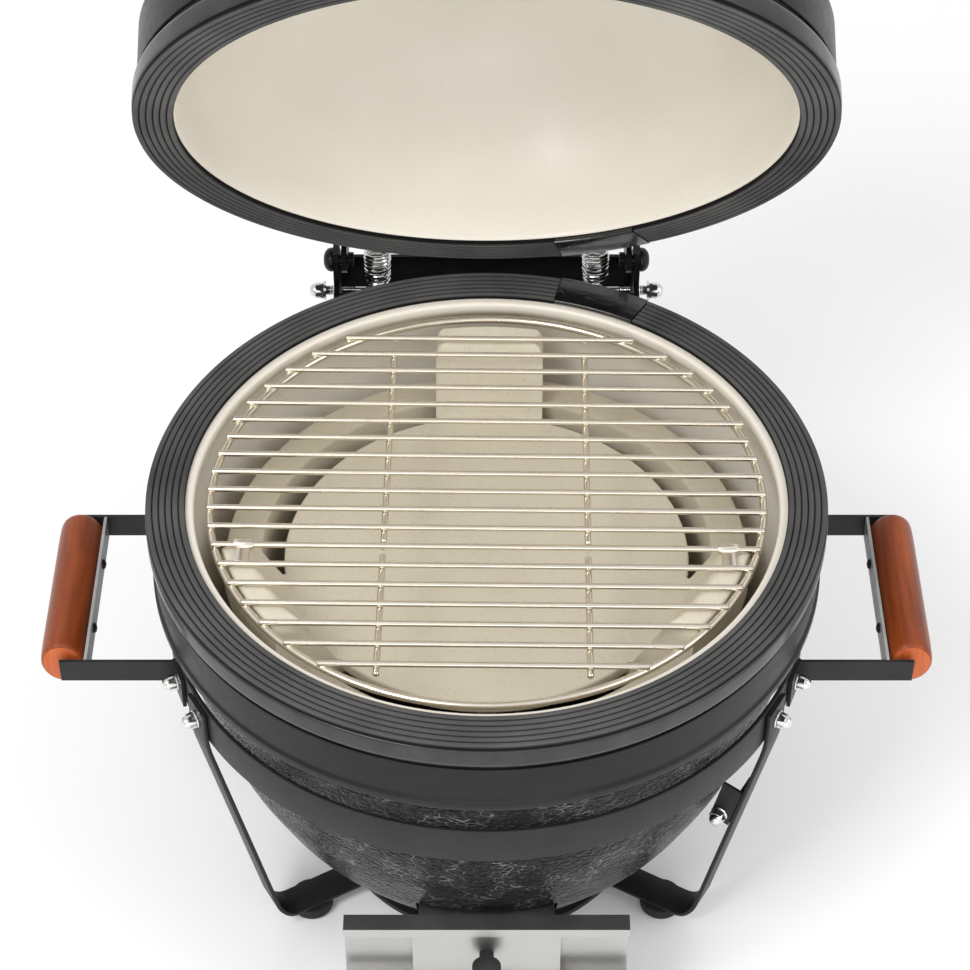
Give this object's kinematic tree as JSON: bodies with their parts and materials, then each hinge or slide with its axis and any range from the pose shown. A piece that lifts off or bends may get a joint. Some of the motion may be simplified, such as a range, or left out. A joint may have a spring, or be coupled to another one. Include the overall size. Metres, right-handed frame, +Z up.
{
  "type": "kamado ceramic grill",
  "caption": "Egg-shaped ceramic charcoal grill on a low strap stand, sprung lid open, wire grate with lift-up front, heat deflector, firebox, draft door and top vent.",
  "frame": {"origin": "on the floor under the centre of the bounding box, which lies 59.5 mm behind the bowl's axis because the open lid leans back", "axes": "+Z up and the longest extent, +X to the right of someone facing the grill's front, +Y from the front to the lid hinge and the shortest extent"},
  "size_m": [0.6108, 0.5789, 0.8629],
  "materials": {
    "glaze": "black crackle glaze outside, cream glaze inside",
    "firebrick": "matt cream refractory",
    "gasket": "ribbed woven fibre",
    "tape": "gloss black",
    "paint": "black powder coat",
    "steel": "bright",
    "grate": "polished stainless wire",
    "iron": "black cast",
    "wood": "oiled bamboo",
    "rubber": "black",
    "knob": "black",
    "dial": "white printed dial",
    "pointer": "black",
    "lens": "clear"
  },
  "bodies": {
    "base": {"bowl": "glaze", "base_gasket": "gasket", "base_gasket_cover": "tape", "firebox": "firebrick", "deflector": "firebrick", "charcoal_grate": "iron", "cooking_grate": "grate", "draft_frame": "steel", "spring_rod_base": "steel", "hinge_spring_left": "steel", "hinge_spring_right": "steel", "leg_bolt_rear": "steel", "leg_bolt_left": "steel", "leg_bolt_right": "steel", "strap_clip_bolt": "steel", "handle_bolt_left_front": "steel", "handle_bolt_left_rear": "steel", "handle_bolt_right_front": "steel", "handle_bolt_right_rear": "steel", "foot_rear": "rubber", "foot_left": "rubber", "foot_right": "rubber", "base_band": "paint", "stand_ring": "paint", "leg_strap_rear": "paint", "leg_strap_left": "paint", "leg_strap_right": "paint", "stand_base_ring": "paint", "strap_clip": "paint", "handle_arms_left": "paint", "handle_arms_right": "paint", "base_hinge_bracket": "paint", "pivot_bolt_left": "paint", "pivot_bolt_right": "paint", "base_clamp_bolt_left": "paint", "base_clamp_bolt_right": "paint", "grip_left": "wood", "grip_right": "wood"},
    "lid": {"lid": "glaze", "lid_gasket": "gasket", "lid_gasket_cover": "tape", "lid_band": "paint", "lid_hinge_bracket": "paint", "spring_rod_lid": "steel", "lid_handle_arms": "paint", "lid_grip": "wood", "thermometer_case": "steel", "thermometer_dial": "dial", "thermometer_pointer": "pointer", "thermometer_lens": "lens", "vent_collar": "iron", "vent_pin": "steel"},
    "grate_flap": {"grate_flap": "grate"},
    "vent_cap": {"vent_cap": "iron", "daisy_pin": "steel"},
    "daisy_wheel": {"daisy_wheel": "iron"},
    "draft_door": {"draft_door": "steel", "draft_knob": "knob"},
    "draft_screen": {"draft_screen": "steel"}
  },
  "joints": [
    {"name": "lid_hinge", "type": "hinge", "parent": "base", "child": "lid", "pos_m": [0, 0.17905, 0.364], "axis": [1, 0, 0], "range_deg": [0, 60], "stiffness_Nm_per_rad": 26, "springref_deg": -25.78, "deforming": ["hinge_spring_left", "hinge_spring_right"]},
    {"name": "grate_flap_hinge", "type": "hinge", "parent": "base", "child": "grate_flap", "pos_m": [-0.0007, -0.10945, 0.3534], "axis": [-0.9999, 0.014, 0], "range_deg": [0, 95]},
    {"name": "vent_cap_pivot", "type": "hinge", "parent": "lid", "child": "vent_cap", "pos_m": [0.06, 0.25466, 0.68305], "axis": [0, 0.866, 0.5], "range_deg": [0, 80]},
    {"name": "daisy_wheel_turn", "type": "hinge", "parent": "vent_cap", "child": "daisy_wheel", "pos_m": [0, 0.25899, 0.68555], "axis": [0, 0.866, 0.5], "range_deg": [-12, 24]},
    {"name": "draft_door_slide", "type": "slide", "parent": "base", "child": "draft_door", "axis": [1, 0, 0], "range_m": [0, 0.046]},
    {"name": "draft_screen_slide", "type": "slide", "parent": "base", "child": "draft_screen", "axis": [1, 0, 0], "range_m": [0, 0.046]}
  ]
}
